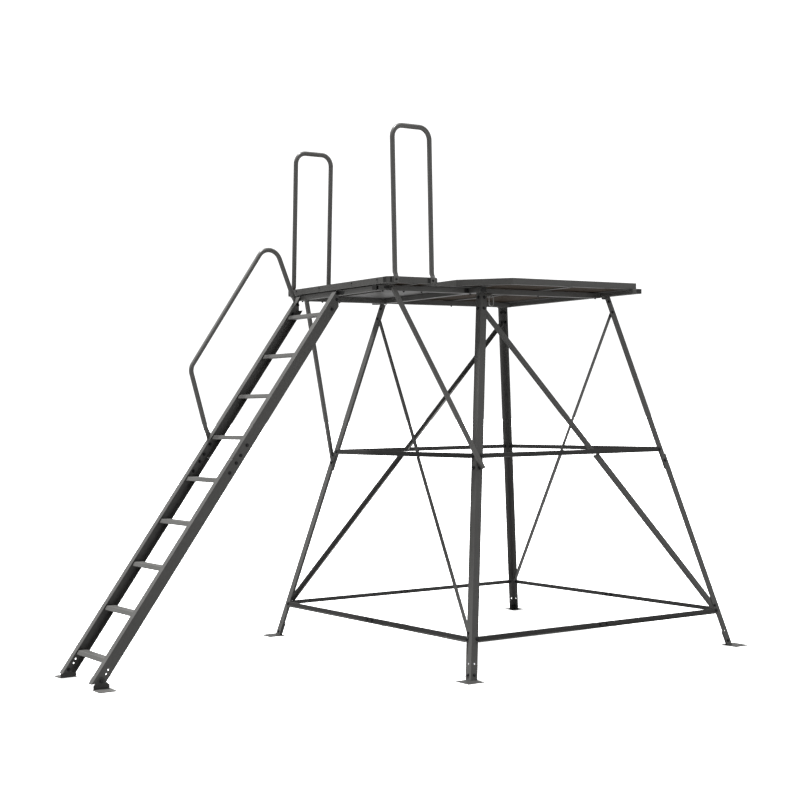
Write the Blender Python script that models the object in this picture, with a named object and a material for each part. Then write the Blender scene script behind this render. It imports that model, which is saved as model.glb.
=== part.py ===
"""Free-standing elevated hunting platform: battered four-leg tower, deck, landing, hoops and ladder."""
import math

import bmesh
import bpy
from mathutils import Euler, Matrix, Vector

# driving dimensions, metres, tower axis on the ground at the local origin
SHIFT_X = 0.9459         # moves the tower so the whole part is centred on the origin
GAP = 0.0004             # clearance between bolted pieces
LEG_H0 = 1.126           # half spread of the leg outer corners on the ground
LEG_K = 0.2370           # lean of every leg, metres in per metre up
LEG_F = 0.050            # leg angle flange
LEG_T = 0.004            # leg angle thickness
SPLICE_LO = 1.195
SPLICE_HI = 1.300
FOOT_W = 0.125           # leg foot plate, square
FOOT_C = 1.1375          # leg foot plate centre from the tower axis
PLATE_T = 0.004
RAIL_W = 0.030           # girt angle flange
RAIL_T = 0.003
LOW_Z = 0.238
MID_Z = 1.330
GIRT_BACK = 0.030        # girt end set back from the leg corner
BRACE_TOP_Z = 2.266
BRACE_LOW_Z = 0.266
BRACE_UP_W = 0.022
BRACE_LO_W = 0.030
KNEE_W = 0.024           # knee brace square tube
KNEE_TOP = (-1.2136, 0.5014, 2.384)   # bolted on the outer side of the long tube
KNEE_LOW = (-0.788, 1.250)
KNEE_OUT = 0.0176        # knee brace centre in front of the leg face
WALL = 0.003             # wall of every hollow tube
TUBE_W = 0.044           # sub-frame tube, lying flat
TUBE_H = 0.032
TUBE_B = 2.364           # underside of the sub-frame
TUBE_T = TUBE_B + TUBE_H
LONG_Y = 0.467           # long tubes from the tower axis
LEFT_X = -0.575          # cross tube over the two ladder-side legs
LEFT_END = 0.600
LEFT_W = 0.050
RIGHT_X = 0.562          # cross tube over the two far legs, set just under the deck rim
RIGHT_B = 2.369
RIGHT_NEAR = -0.830
RIGHT_FAR = 0.600
RIM_B = 2.4012
DECK_T = 2.442           # top of the deck rim, eight feet up
DECK_L = -0.740
DECK_R = 0.582
DECK_W = 0.785           # deck half width
DECK_CH = 0.250          # deck corners cut on the ladder side
RIM_W = 0.030
BAR_W = 0.040            # flat bars under the floors
FLOOR_B = 2.4026
FLOOR_T = 0.018
LAND_X = -1.310          # front of the landing
LAND_REAR = -0.922
LAND_Y = 0.597
LAND_CH = 0.026
LAND_RIM = 0.024
LAND_BARS = (-1.265, -1.105, -0.965)
HOOP_R = 0.0155
HOOP_X = (-1.2575, -0.9757)
HOOP_Y = 0.588
HOOP_LEAN = {"near": 0.014, "far": 0.060}
HOOP_BASE = 2.455
HOOP_TOP = 3.366
HOOP_BEND = 0.075
LAD_NEAR = -0.042        # outer web face of the near rail
LAD_FAR = 0.442
LAD_SLOPE = 1.335        # rise over run
LAD_X0 = -3.118          # upper rail edge on the ground
LAD_DX = 0.0906          # rail depth measured level
RAIL_FL = 0.047
FLANGE_T = 0.0045        # rail flange measured level
WEB_T = 0.0035
LAD_CUT_Z = 0.035
LAD_TOP_X = -1.3115
LAD_TOP_Z = 2.385
SEAM_Z = 1.330
RUNG_N = 9
RUNG_Z0 = 0.172          # top of the first rung
RUNG_DZ = 0.2606
RUNG_D = 0.052
RUNG_H = 0.026
RUNG_IN = 0.012          # front top edge behind the rail's upper edge
PIVOT_X = -3.0300
PIVOT_Z = 0.050
PIVOT_R = 0.005
HAND_R = 0.0155
HAND_PATH = ((-2.007, 1.440), (-2.134, 1.909), (-1.508, 2.790), (-1.320, 2.322))
HAND_BENDS = (0.075, 0.090)
RING_X = -0.401
RING_R = 0.003
RING_W = 0.036
RING_L = 0.062
EYE_Z = TUBE_B - 0.013
NAMES = "nrbl"           # near, right, back and left leg, going round

COAT = (0.052, 0.052, 0.050, 1.0)
BOARD = (0.060, 0.046, 0.034, 1.0)
ZINC = (0.36, 0.36, 0.35, 1.0)

ALONG_X = Euler((math.pi / 2, 0.0, math.pi / 2)).to_matrix().to_4x4()
ALONG_Y = Euler((math.pi / 2, 0.0, 0.0)).to_matrix().to_4x4()


def clear_scene():
    for ob in list(bpy.data.objects):
        bpy.data.objects.remove(ob, do_unlink=True)
    for coll in list(bpy.data.collections):
        bpy.data.collections.remove(coll)


def collection(name):
    coll = bpy.data.collections.new(name)
    bpy.context.scene.collection.children.link(coll)
    return coll


def material(name, color, metal, rough):
    mat = bpy.data.materials.new(name)
    mat.use_nodes = True
    bsdf = mat.node_tree.nodes["Principled BSDF"]
    bsdf.inputs["Base Color"].default_value = color
    bsdf.inputs["Metallic"].default_value = metal
    bsdf.inputs["Roughness"].default_value = rough
    mat.diffuse_color = color
    return mat


class Shop:
    """Where pieces and cutters go while the model is built."""

    def __init__(self):
        self.parts = collection("ladder_tree_stand")
        self.cutters = collection("ladder_tree_stand_cutters")
        self.root = bpy.data.objects.new("tower_axis", None)
        self.root.location = (SHIFT_X, 0.0, 0.0)
        self.parts.objects.link(self.root)

    def put(self, name, mesh, place, finish):
        """Link a mesh as a piece, or as a cutter when it has no finish."""
        ob = bpy.data.objects.new(name, mesh)
        ob.parent = self.root
        ob.matrix_basis = place
        if finish is None:
            self.cutters.objects.link(ob)
            ob.hide_render = True
            ob.display_type = "WIRE"
        else:
            self.parts.objects.link(ob)
            mesh.materials.clear()
            mesh.materials.append(material(name + "_finish", *finish))
        return ob


def half(z):
    """Half spread of the leg outer corners at height z."""
    return LEG_H0 - LEG_K * z


def quarter(k):
    """Quarter turns about the tower axis."""
    return Matrix.Rotation(k * math.pi / 2, 4, "Z")


def settle(shop, name, data, place, finish):
    """Make a curve a closed mesh, its caps welded, standing where the curve stood."""
    guide = bpy.data.objects.new(name + "_guide", data)
    bpy.context.scene.collection.objects.link(guide)
    bpy.context.view_layer.update()
    deps = bpy.context.evaluated_depsgraph_get()
    mesh = bpy.data.meshes.new_from_object(guide.evaluated_get(deps))
    bpy.data.objects.remove(guide, do_unlink=True)
    bpy.data.curves.remove(data)
    mesh.name = name
    bm = bmesh.new()
    bm.from_mesh(mesh)
    bmesh.ops.remove_doubles(bm, verts=bm.verts, dist=0.00002)
    bmesh.ops.recalc_face_normals(bm, faces=bm.faces)
    bm.to_mesh(mesh)
    bm.free()
    return shop.put(name, mesh, place, finish)


def extrude(shop, name, loops, length, place, finish):
    """Flat outline, outer loop then holes, filled and pushed half its length to each side."""
    data = bpy.data.curves.new(name, "CURVE")
    data.dimensions = "2D"
    data.fill_mode = "BOTH"
    data.extrude = length / 2
    for loop in loops:
        spline = data.splines.new("POLY")
        spline.points.add(len(loop) - 1)
        for point, (u, v) in zip(spline.points, loop):
            point.co = (u, v, 0.0, 1.0)
        spline.use_cyclic_u = True
    return settle(shop, name, data, place, finish)


def bent_tube(shop, name, path, radius, place, finish, closed=False, resolution=4):
    """Round bar or tube along a path."""
    data = bpy.data.curves.new(name, "CURVE")
    data.dimensions = "3D"
    data.bevel_depth = radius
    data.bevel_resolution = resolution
    data.use_fill_caps = not closed
    spline = data.splines.new("POLY")
    spline.points.add(len(path) - 1)
    for point, p in zip(spline.points, path):
        point.co = (p[0], p[1], p[2], 1.0)
    spline.use_cyclic_u = closed
    ob = settle(shop, name, data, place, finish)
    ob.data.shade_smooth()
    ob.data.set_sharp_from_angle(angle=math.radians(40))
    return ob


def cuboid(shop, name, lo, hi, finish):
    bm = bmesh.new()
    bmesh.ops.create_cube(bm, size=1.0)
    bmesh.ops.scale(bm, vec=[b - a for a, b in zip(lo, hi)], verts=bm.verts)
    mesh = bpy.data.meshes.new(name)
    bm.to_mesh(mesh)
    bm.free()
    centre = [(a + b) / 2 for a, b in zip(lo, hi)]
    return shop.put(name, mesh, Matrix.Translation(centre), finish)


def crossbolt(shop, name, x, z, radius, y0, y1, finish, segments=16):
    """Round bar lying along Y."""
    bm = bmesh.new()
    bmesh.ops.create_cone(bm, cap_ends=True, segments=segments, radius1=radius, radius2=radius, depth=abs(y1 - y0))
    mesh = bpy.data.meshes.new(name)
    bm.to_mesh(mesh)
    bm.free()
    return shop.put(name, mesh, Matrix.Translation((x, (y0 + y1) / 2, z)) @ ALONG_Y, finish)


def slab(shop, name, loops, y0, y1, finish, x=0.0, z=0.0):
    """Outline in the XZ plane pushed along Y, with its origin at x, z."""
    place = Matrix.Translation((x, (y0 + y1) / 2, z)) @ ALONG_Y
    return extrude(shop, name, loops, abs(y1 - y0), place, finish)


def prism(shop, name, loops, z0, z1, finish):
    return extrude(shop, name, loops, z1 - z0, Matrix.Translation((0, 0, (z0 + z1) / 2)), finish)


def combine(target, tool, operation):
    mod = target.modifiers.new(operation.lower(), "BOOLEAN")
    mod.operation = operation
    mod.solver = "EXACT"
    mod.object = tool


def rect_tube(w, h):
    """Open-ended rectangular tube section."""
    a = w / 2
    b = h / 2
    c = a - WALL
    d = b - WALL
    return [[(-a, -b), (a, -b), (a, b), (-a, b)], [(-c, -d), (c, -d), (c, d), (-c, d)]]


def rounded_path(points, radii, steps):
    """Polyline with every inner corner replaced by an arc."""
    pts = [Vector(p) for p in points]
    out = [pts[0]]
    for i in range(1, len(pts) - 1):
        a = (pts[i - 1] - pts[i]).normalized()
        b = (pts[i + 1] - pts[i]).normalized()
        ang = a.angle(b)
        r = radii[i - 1]
        cut = r / math.tan(ang / 2)
        center = pts[i] + (a + b).normalized() * (r / math.sin(ang / 2))
        start = pts[i] + a * cut - center
        axis = start.cross(pts[i] + b * cut - center).normalized()
        sweep = math.pi - ang
        for s in range(steps + 1):
            out.append(center + Matrix.Rotation(sweep * s / steps, 3, axis) @ start)
    out.append(pts[-1])
    return out


def leg(shop, name, k, inset, z0, z1, finish):
    """Angle whose two flanges lie in two sloping tower faces: an L section pushed up, then sheared both ways."""
    a = inset
    f = inset + LEG_F
    t = inset + LEG_T
    section = [(a, a), (f, a), (f, t), (t, t), (t, f), (a, f)]
    zc = (z0 + z1) / 2
    place = quarter(k) @ Matrix.Translation((-half(zc), -half(zc), zc))
    ob = extrude(shop, name, [section], z1 - z0, place, finish)
    lean = Matrix.Identity(4)
    lean[0][2] = LEG_K
    lean[1][2] = LEG_K
    ob.data.transform(lean)
    return ob


def foot_plate(shop, name, k, finish):
    """Square plate with an upright angle that nests in the leg."""
    h = FOOT_W / 2
    centre = quarter(k) @ Vector((-FOOT_C, -FOOT_C, 0.0))
    plate = cuboid(shop, name, (centre.x - h, centre.y - h, 0.0), (centre.x + h, centre.y + h, PLATE_T), finish)
    upright = leg(shop, name + "_upright", k, LEG_T + GAP, PLATE_T / 2, 0.088, None)
    combine(plate, upright, "UNION")
    return plate


def girt(shop, name, k, z, inset, finish):
    """Level angle bolted on the outer faces of two legs, its upright flange leaning with them."""
    h = RAIL_W / 2
    t = RAIL_T
    square = [(0, -h), (-RAIL_W, -h), (-RAIL_W, t - h), (-t, t - h), (-t, h), (0, h)]
    section = [(u + LEG_K * v, v) for u, v in square]
    end = half(z) - inset - GIRT_BACK
    place = quarter(k) @ Matrix.Translation((0, inset - GAP - half(z), z)) @ ALONG_X
    return extrude(shop, name, [section], 2 * end, place, finish)


def brace(shop, name, k, low, high, offset, w, finish):
    """Angle laid in one tower face, behind the leg flange, between two (along, height) points."""
    n = Vector((0, -1, LEG_K)).normalized()
    p = Vector((low[0], -half(low[1]), low[1])) - n * offset
    q = Vector((high[0], -half(high[1]), high[1])) - n * offset
    d = (q - p).normalized()
    e = n.cross(d).normalized()
    t = RAIL_T
    section = [(-w / 2, 0), (w / 2, 0), (w / 2, -t), (t - w / 2, -t), (t - w / 2, -w), (-w / 2, -w)]
    turn = Matrix((e, n, d)).transposed().to_4x4()
    place = quarter(k) @ Matrix.Translation((p + q) / 2) @ turn
    return extrude(shop, name, [section], (q - p).length, place, finish)


def knee_brace(shop, name, sgn, finish):
    p = Vector((KNEE_TOP[0], sgn * KNEE_TOP[1], KNEE_TOP[2]))
    q = Vector((KNEE_LOW[0], sgn * (half(KNEE_LOW[1]) + KNEE_OUT), KNEE_LOW[1]))
    d = (q - p).normalized()
    u = d.cross(Vector((0, 1, 0))).normalized()
    turn = Matrix((u, d.cross(u), d)).transposed().to_4x4()
    place = Matrix.Translation((p + q) / 2) @ turn
    return extrude(shop, name, rect_tube(KNEE_W, KNEE_W), (q - p).length, place, finish)


def tube_x(shop, name, x0, x1, y, w, z0, h, finish):
    place = Matrix.Translation(((x0 + x1) / 2, y, z0 + h / 2)) @ ALONG_X
    return extrude(shop, name, rect_tube(w, h), x1 - x0, place, finish)


def tube_y(shop, name, x, y0, y1, w, z0, h, finish):
    place = Matrix.Translation((x, (y0 + y1) / 2, z0 + h / 2)) @ ALONG_Y
    return extrude(shop, name, rect_tube(w, h), y1 - y0, place, finish)


def deck_outline(inset):
    """Plan of the deck, two corners cut on the ladder side."""
    l = DECK_L + inset
    r = DECK_R - inset
    w = DECK_W - inset
    c = DECK_CH - inset * (2 - math.sqrt(2))
    return [(l, c - w), (l + c, -w), (r, -w), (r, w), (l + c, w), (l, w - c)]


def landing_outline(inset):
    a = LAND_X + inset
    b = LAND_REAR - inset
    w = LAND_Y - inset
    c = LAND_CH - inset * (2 - math.sqrt(2))
    return [(a, c - w), (a + c, -w), (b - c, -w), (b, c - w), (b, w - c), (b - c, w), (a + c, w), (a, w - c)]


def rail_x(z, inset=0.0):
    """Upper rail edge at height z, moved in by a level distance."""
    return LAD_X0 + z / LAD_SLOPE + inset


def rail_z(x, inset=0.0):
    return (x - LAD_X0 - inset) * LAD_SLOPE


def rail_run(z0, z1, near_edge, far_edge):
    """Sloping band of the rail between two heights."""
    return [(rail_x(z0, near_edge), z0), (rail_x(z0, far_edge), z0), (rail_x(z1, far_edge), z1),
            (rail_x(z1, near_edge), z1)]


def rail_outline(z0, z1):
    """Side view of one rail section, the top one cut upright where it meets the landing."""
    pts = rail_run(z0, z1, 0.0, LAD_DX)
    if rail_x(z1, LAD_DX) > LAD_TOP_X:
        pts[2:3] = [(LAD_TOP_X, rail_z(LAD_TOP_X, LAD_DX)), (LAD_TOP_X, z1)]
    return pts


def ladder_rail(shop, name, outer_y, sgn, z0, z1, finish):
    """C channel, web outside, flanges pointing at the other rail."""
    body = slab(shop, name, [rail_outline(z0, z1)], outer_y, outer_y + sgn * RAIL_FL, finish)
    run = rail_run(z0 - 0.2, z1 + 0.2, FLANGE_T, LAD_DX - FLANGE_T)
    pocket = slab(shop, name + "_pocket", [run], outer_y + sgn * WEB_T, outer_y + sgn * (RAIL_FL + 0.02), None)
    combine(body, pocket, "DIFFERENCE")
    return body


def lower_rail(shop, name, outer_y, sgn, finish):
    """Lower rail section with the splice plate inside its web and the foot's bolt hole."""
    body = ladder_rail(shop, name, outer_y, sgn, LAD_CUT_Z, SEAM_Z, finish)
    inner = outer_y + sgn * (WEB_T + GAP)
    band = rail_run(SEAM_Z - 0.095, SEAM_Z + 0.085, 0.012, LAD_DX - 0.012)
    plate = slab(shop, name + "_splice", [band], inner, inner + sgn * 0.003, None)
    pad = rail_run(SEAM_Z - 0.060, SEAM_Z - 0.030, 0.030, 0.056)
    weld = slab(shop, name + "_weld", [pad], outer_y + sgn * 0.001, inner + sgn * 0.002, None)
    combine(plate, weld, "UNION")
    combine(body, plate, "UNION")
    hole = crossbolt(shop, name + "_hole", PIVOT_X, PIVOT_Z, PIVOT_R + 0.0006, outer_y - sgn * 0.01,
                     outer_y + sgn * 0.01, None)
    combine(body, hole, "DIFFERENCE")
    return body


def ladder_foot(shop, name, outer_y, sgn, finish):
    """Pivoting L foot: rounded cheek on the rail web, sole plate turned outward, bolt through the web."""
    inside = outer_y - sgn * GAP
    outside = inside - sgn * PLATE_T
    r = 0.026
    low = 0.026 - PIVOT_Z
    arc = [(r * math.cos(math.radians(d)), r * math.sin(math.radians(d))) for d in range(0, 181, 20)]
    outline = [(0.052, -PIVOT_Z), (0.052, low)] + arc + [(-0.052, low), (-0.052, -PIVOT_Z)]
    cheek = slab(shop, name, [outline], inside, outside, finish, PIVOT_X, PIVOT_Z)
    edge = inside - sgn * 0.105
    sole = cuboid(shop, name + "_sole", (PIVOT_X - 0.057, min(inside, edge), 0.0),
                  (PIVOT_X + 0.057, max(inside, edge), PLATE_T), None)
    combine(cheek, sole, "UNION")
    pin = crossbolt(shop, name + "_pin", PIVOT_X, PIVOT_Z, PIVOT_R, outside - sgn * 0.004, outer_y + sgn * 0.014, None)
    combine(cheek, pin, "UNION")
    head = crossbolt(shop, name + "_head", PIVOT_X, PIVOT_Z, 0.009, outside + sgn * 0.001, outside - sgn * 0.006,
                     None, 6)
    combine(cheek, head, "UNION")
    return cheek


def hoop(shop, name, sgn, lean, finish):
    """Bent handrail tube, its two ends flattened into tabs on the rim's outer side."""
    def at(x, z):
        return (x, sgn * (HOOP_Y - lean * (z - HOOP_BASE)), z)
    path = rounded_path([at(HOOP_X[0], HOOP_BASE), at(HOOP_X[0], HOOP_TOP), at(HOOP_X[1], HOOP_TOP),
                         at(HOOP_X[1], HOOP_BASE)], (HOOP_BEND, HOOP_BEND), 8)
    ob = bent_tube(shop, name, path, HOOP_R, Matrix.Identity(4), finish)
    face = sgn * (LAND_Y + GAP)
    back = face + sgn * 0.005
    for i, x in enumerate(HOOP_X):
        tab = cuboid(shop, "%s_tab_%d" % (name, i + 1), (x - 0.018, min(face, back), RIM_B + 0.003),
                     (x + 0.018, max(face, back), HOOP_BASE + 0.030), None)
        combine(ob, tab, "UNION")
    return ob


def tower(shop, coat):
    for k, n in enumerate(NAMES):
        top = TUBE_B if n in "nl" else RIGHT_B
        leg(shop, "leg_lower_" + n, k, 0.0, PLATE_T + 0.0005, SPLICE_HI, coat)
        leg(shop, "leg_upper_" + n, k, LEG_T + GAP, SPLICE_LO, top - GAP, coat)
        foot_plate(shop, "leg_foot_" + n, k, coat)
    top_s = 0.034 - half(BRACE_TOP_Z)
    low_s = half(BRACE_LOW_Z) - 0.034
    run = (low_s - top_s) / (BRACE_LOW_Z - BRACE_TOP_Z)
    meet = 0.012
    upper_end = (top_s + run * (MID_Z + meet - BRACE_TOP_Z), MID_Z + meet)
    lower_end = (top_s + run * (MID_Z - meet - BRACE_TOP_Z), MID_Z - meet)
    for k in range(4):
        face = NAMES[k] + NAMES[(k + 1) % 4]
        girt(shop, "girt_low_" + face, k, LOW_Z, 0.0, coat)
        girt(shop, "girt_mid_" + face, k, MID_Z, LEG_T + GAP, coat)
        brace(shop, "brace_upper_" + face, k, (top_s, BRACE_TOP_Z), upper_end, 2 * LEG_T + 3 * GAP, BRACE_UP_W, coat)
        brace(shop, "brace_lower_" + face, k, lower_end, (low_s, BRACE_LOW_Z), LEG_T + GAP, BRACE_LO_W, coat)


def sub_frame(shop, coat):
    """Two cross tubes on the leg tops, long tubes butted between and in front of them."""
    left_in = LEFT_X - LEFT_W / 2 - GAP
    left_out = LEFT_X + LEFT_W / 2 + GAP
    right_in = RIGHT_X - TUBE_W / 2 - GAP
    for sgn, n in ((-1, "near"), (1, "far")):
        knee_brace(shop, "knee_brace_" + n, sgn, coat)
        tube_x(shop, "beam_long_" + n, LAND_X, left_in, sgn * LONG_Y, TUBE_W, TUBE_B, TUBE_H, coat)
        tube_x(shop, "beam_deck_" + n, left_out, right_in, sgn * LONG_Y, TUBE_W, TUBE_B, TUBE_H, coat)
    tube_y(shop, "beam_cross_left", LEFT_X, -LEFT_END, LEFT_END, LEFT_W, TUBE_B, TUBE_H, coat)
    tube_y(shop, "beam_cross_right", RIGHT_X, RIGHT_NEAR, RIGHT_FAR, TUBE_W, RIGHT_B, RIM_B - GAP - RIGHT_B, coat)


def floors(shop, coat, board):
    """Rims with flat bars welded under them, and the boards laid inside."""
    deck = prism(shop, "deck_rim", [deck_outline(0.0), deck_outline(RIM_W)], RIM_B, DECK_T, coat)
    for i, x in enumerate((LEFT_X, 0.0, DECK_R - RIM_W - BAR_W)):
        w = DECK_W - 0.008 if i else DECK_W - DECK_CH + (LEFT_X - BAR_W / 2 - DECK_L) - 0.012
        bar = cuboid(shop, "deck_bar_%d" % (i + 1), (x - BAR_W / 2, -w, TUBE_T + GAP),
                     (x + BAR_W / 2, w, RIM_B + 0.001), None)
        combine(deck, bar, "UNION")
    prism(shop, "deck_floor", [deck_outline(RIM_W + GAP)], FLOOR_B, FLOOR_B + FLOOR_T, board)

    landing = prism(shop, "landing_rim", [landing_outline(0.0), landing_outline(LAND_RIM)], RIM_B, DECK_T, coat)
    w = LAND_Y - 0.006
    for i, x in enumerate(LAND_BARS):
        bar = cuboid(shop, "landing_bar_%d" % (i + 1), (x - BAR_W / 2, -w, TUBE_T + GAP),
                     (x + BAR_W / 2, w, RIM_B + 0.001), None)
        combine(landing, bar, "UNION")
    prism(shop, "landing_floor", [landing_outline(LAND_RIM + GAP)], FLOOR_B, FLOOR_B + FLOOR_T, board)


def front_beam(shop, coat):
    """Tube under the landing's front rim, with the two plates that the ladder is bolted to."""
    yin = LONG_Y - TUBE_W / 2 - GAP
    h = TUBE_H - 0.002
    beam = tube_y(shop, "landing_beam", LAND_X + 0.019, -yin, yin, 0.038, TUBE_B, h, coat)
    ins = 0.014
    za = RUNG_Z0 + RUNG_DZ * (RUNG_N - 1) + 0.007
    seat = LAND_X + 0.002
    outline = [(rail_x(za, ins), za), (rail_x(za, LAD_DX - ins), za), (seat, TUBE_B + 0.002), (seat, TUBE_B + h - 0.004),
               (rail_x(TUBE_B - 0.004, ins), TUBE_B - 0.004)]
    for outer_y, sgn, n in ((LAD_NEAR, 1, "near"), (LAD_FAR, -1, "far")):
        y0 = outer_y + sgn * (WEB_T + GAP)
        tab = slab(shop, "ladder_tab_" + n, [outline], y0, y0 + sgn * 0.004, None)
        combine(beam, tab, "UNION")


def ladder(shop, coat):
    for outer_y, sgn, n in ((LAD_NEAR, 1, "near"), (LAD_FAR, -1, "far")):
        lower_rail(shop, "ladder_rail_lower_" + n, outer_y, sgn, coat)
        ladder_rail(shop, "ladder_rail_upper_" + n, outer_y, sgn, SEAM_Z + GAP, LAD_TOP_Z, coat)
        ladder_foot(shop, "ladder_foot_" + n, outer_y, sgn, coat)
    ya = LAD_NEAR + WEB_T + GAP
    yb = LAD_FAR - WEB_T - GAP
    for i in range(RUNG_N):
        top = RUNG_Z0 + RUNG_DZ * i
        x = rail_x(top, RUNG_IN + RUNG_D / 2)
        tube_y(shop, "rung_%d" % (i + 1), x, ya, yb, RUNG_D, top - RUNG_H, RUNG_H, coat)
    hy = LAD_FAR + HAND_R + GAP
    path = rounded_path([(x, hy, z) for x, z in HAND_PATH], HAND_BENDS, 7)
    bent_tube(shop, "stair_handrail", path, HAND_R, Matrix.Identity(4), coat)


def hanging_ring(shop, zinc):
    """Wire eye under the near deck tube and the tie ring that swings in it."""
    eye = rounded_path([(RING_X, -LONG_Y - 0.009, TUBE_B + 0.0015), (RING_X, -LONG_Y - 0.009, EYE_Z - 0.007),
                        (RING_X, -LONG_Y + 0.009, EYE_Z - 0.007), (RING_X, -LONG_Y + 0.009, TUBE_B + 0.0015)],
                       (0.0085, 0.0085), 5)
    tool = bent_tube(shop, "tie_eye", eye, 0.003, Matrix.Identity(4), None, False, 2)
    combine(bpy.data.objects["beam_deck_near"], tool, "UNION")
    w = RING_W / 2
    loop = rounded_path([(0, 0, 0), (w, 0, 0), (w, 0, -RING_L), (-w, 0, -RING_L), (-w, 0, 0), (0, 0, 0)],
                        (0.006, 0.016, 0.016, 0.006), 5)
    place = Matrix.Translation((RING_X, -LONG_Y, EYE_Z))
    bent_tube(shop, "tie_ring", loop[:-1], RING_R, place, zinc, True, 2)


def build():
    clear_scene()
    shop = Shop()
    coat = (COAT, 0.35, 0.48)
    board = (BOARD, 0.0, 0.75)
    zinc = (ZINC, 0.9, 0.38)
    tower(shop, coat)
    sub_frame(shop, coat)
    floors(shop, coat, board)
    front_beam(shop, coat)
    for sgn, n in ((-1, "near"), (1, "far")):
        hoop(shop, "hoop_" + n, sgn, HOOP_LEAN[n], coat)
    ladder(shop, coat)
    hanging_ring(shop, zinc)
    bpy.context.view_layer.update()


if __name__ == "__main__":
    build()
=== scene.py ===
import math

import bmesh
import bpy
from mathutils import Matrix, Vector


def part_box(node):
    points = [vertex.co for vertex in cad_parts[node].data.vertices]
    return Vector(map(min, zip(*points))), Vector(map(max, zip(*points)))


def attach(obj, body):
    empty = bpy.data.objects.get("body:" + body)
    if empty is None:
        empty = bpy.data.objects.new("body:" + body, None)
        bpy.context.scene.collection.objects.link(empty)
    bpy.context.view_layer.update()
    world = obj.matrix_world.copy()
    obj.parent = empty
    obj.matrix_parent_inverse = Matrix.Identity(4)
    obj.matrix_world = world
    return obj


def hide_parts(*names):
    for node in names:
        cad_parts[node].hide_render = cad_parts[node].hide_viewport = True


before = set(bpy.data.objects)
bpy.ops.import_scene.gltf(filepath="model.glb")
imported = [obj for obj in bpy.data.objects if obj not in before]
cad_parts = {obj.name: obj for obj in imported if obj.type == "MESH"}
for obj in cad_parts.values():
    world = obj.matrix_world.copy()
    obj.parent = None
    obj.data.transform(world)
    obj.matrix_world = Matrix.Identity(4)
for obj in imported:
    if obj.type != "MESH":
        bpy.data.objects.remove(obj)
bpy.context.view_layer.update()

bl_info = {
    "name": "Elevated Platform Dressing",
    "version": (1, 0, 0),
    "blender": (4, 5, 0),
    "location": "View3D > Sidebar > Platform",
    "description": "Coated steel, bolts, boards, bent rails and a studio stage for the packed platform tower",
    "category": "Object",
}

AXIS_X = (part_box("leg_foot_n")[0].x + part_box("leg_foot_r")[1].x) / 2   # tower axis in the shared frame
X, Y, Z = Vector((1, 0, 0)), Vector((0, 1, 0)), Vector((0, 0, 1))

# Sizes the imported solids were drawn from, in metres from the tower axis.
LEGS = "nrbl"
LEG_SPREAD = 1.126
LEG_LEAN = 0.2370
LEG_INSET = 0.0044          # upper leg section nests inside the lower one
GIRT_LOW = 0.238
GIRT_MID = 1.330
GIRT_GAP = 0.0006           # room between a girt's outer face and what lies on it
TUBE_BOTTOM = 2.364
TUBE_TOP = 2.396
LONG_Y = 0.467              # middle of the long tubes
RIM_BOTTOM = 2.4012
RIM_TOP = 2.442
LANDING = (-1.310, -0.922, 0.597, 0.026)    # ladder side, tower side, half width, corner cut
DECK = (-0.740, 0.582, 0.785, 0.250)
RAIL_SLOPE = 1.335
RAILS = (("near", -0.042, 1), ("far", 0.442, -1))       # name, outer web face, sign towards the rungs
PIVOT = (-3.030, 0.050)
HOOPS = (("hoop_near", -1, 0.014), ("hoop_far", 1, 0.060))      # node, side, lean towards the middle
HOOP_X = (-1.2575, -0.9757)
HOOP_Y = 0.588
HOOP_TOP = 3.366
HOOP_BASE = 2.455
HOOP_LOW = 2.4046
HAND_PATH = ((-2.007, 1.440), (-2.134, 1.909), (-1.508, 2.790), (-1.320, 2.322))
TUBE_R = 0.0155
RING = (-0.401, -0.467, 2.351)
RING_HALF, RING_DROP, RING_WIRE = 0.018, 0.062, 0.003

# Small pieces that the scene adds, in the same measure.
TAB_WIDE, TAB_THICK = 0.036, 0.0050         # pressed ends of the bent tubes
BARE_PRESS = (0.50, 0.92)                   # how far pressed the tube is where its coat is off
GAP_COVER = (-0.944, -0.605, 0.555)         # ladder side, tower side, half width
NOSE = 0.016                                # how far a tread reaches forward of the plain rung
LIP = 0.0035                                # how far the rims' bottom flange stands out
CORNER_ARM = 0.030                          # how far a corner plate runs along the rim
CLIP_THICK = 0.003
CLIP_FRONT = -1.3108                        # just in front of the landing rim
# Black plates over the cross tubes' open ends, painted shade for their hollow insides: gap and thickness.
END_SHADE_GAP, END_SHADE_THICK = 0.0003, 0.0018
LEG_TABS = (2.356, 0.062)                   # height, distance from the leg corner
SPARE_HOLES = (0.098, 0.027)                # height, distance from the leg corner
RAIL_HOLES = ((-2.9815, 0.113), (-2.9955, 0.088))
SPLICE = (-2.0720, 1.3305)
LIGHT_EDGE, RAIL_EDGE, TUBE_EDGE, KNEE_EDGE, RIM_EDGE = 0.0007, 0.0006, 0.0013, 0.0014, 0.0012

# Bolts by the leg corners: height, distance from the corner, distance out of the tower face, grip, size.
CORNER_BOLTS = (
    (2.335, LEG_INSET + 0.026, -LEG_INSET, 0.0045, 0.85),
    (2.264, LEG_INSET + 0.026, -LEG_INSET, 0.0045, 0.85),
    (1.255, 0.026, 0.0, 0.0090, 1.00),
    (0.034, 0.027, 0.0, 0.0090, 0.85),
    (GIRT_LOW, 0.040, GIRT_GAP, 0.0085, 0.95),
    (GIRT_MID, 0.040, GIRT_GAP - LEG_INSET, 0.0085, 0.95))
BRACE_BOLT = (0.272, 0.036, 0.0, 0.0085, 0.85)
INNER_BOLT = (0.262, 0.030, 0.0, 0.0, 1.5)      # large head on the inner side of the right leg
LAP_BOLTS = (-0.028, 0.028)
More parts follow.
